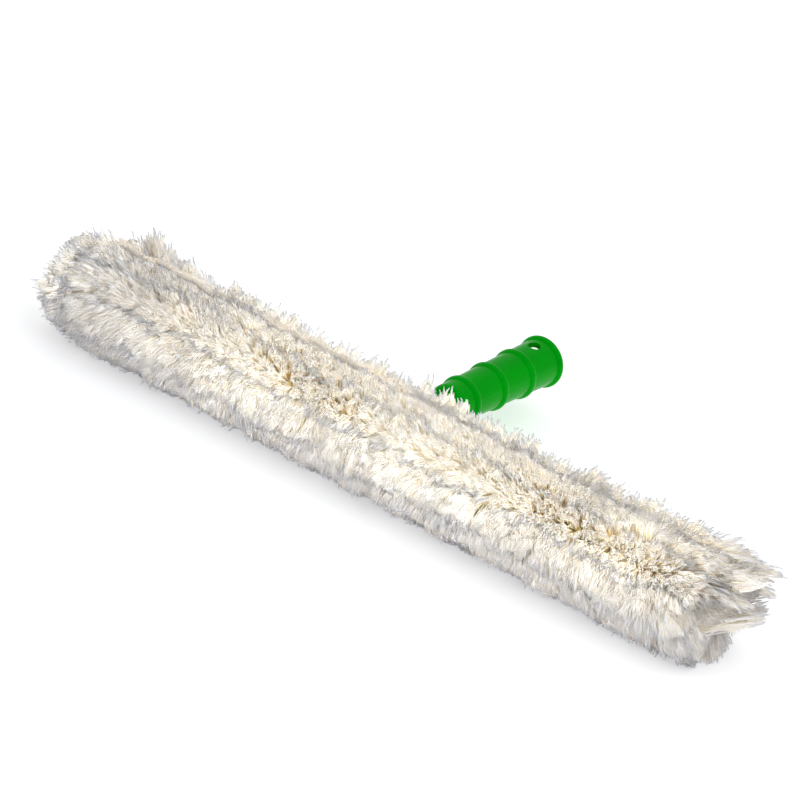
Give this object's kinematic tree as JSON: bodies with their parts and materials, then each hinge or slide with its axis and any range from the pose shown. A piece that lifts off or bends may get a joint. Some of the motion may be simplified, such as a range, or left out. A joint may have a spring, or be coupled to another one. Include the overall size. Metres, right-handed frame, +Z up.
{
  "type": "window scrubber",
  "caption": "T-shaped window scrubber: long cut-yarn pile sleeve on a crossbar, with a ringed hollow handle whose socket takes a pole; the sleeve pulls off along the bar.",
  "frame": {"origin": "on the floor, in the middle of the sleeve's flat resting face, under the crossing of the crossbar's and the handle's axes", "axes": "+X along the crossbar towards the sleeve's closed end, +Y along the handle towards its open socket, +Z up"},
  "size_m": [0.47, 0.1898, 0.0665],
  "materials": {
    "green_plastic": "satin",
    "bar_aluminium": "satin",
    "core_plastic": "matte",
    "bolt_steel": "satin",
    "insert_brass": "satin",
    "plug_plastic": "satin",
    "rivet_aluminium": "satin",
    "backing_cloth": "matte",
    "closing_tape": "matte",
    "pile_yarn": "matte"
  },
  "bodies": {
    "tbar": {"handle_grip": "green_plastic", "crossbar": "bar_aluminium", "tee_core": "core_plastic", "neck_seat": "green_plastic", "handle_bolt": "bolt_steel", "bolt_insert": "insert_brass", "neck_dowels": "bolt_steel", "end_plug_left": "plug_plastic", "end_plug_right": "plug_plastic", "plug_rivets": "rivet_aluminium"},
    "sleeve": {"sleeve_cloth": "backing_cloth", "mouth_hem": "backing_cloth", "end_panel": "backing_cloth", "hook_strip": "closing_tape", "loop_strip": "closing_tape", "neck_gusset": "backing_cloth", "closing_seam": "backing_cloth", "sewn_seam": "backing_cloth", "pile_main": "pile_yarn", "pile_ridge": "pile_yarn", "pile_right_end": "pile_yarn"}
  },
  "joints": [
    {"name": "sleeve_slide", "type": "slide", "parent": "tbar", "child": "sleeve", "axis": [1, 0, 0], "range_m": [0, 0.45]}
  ]
}
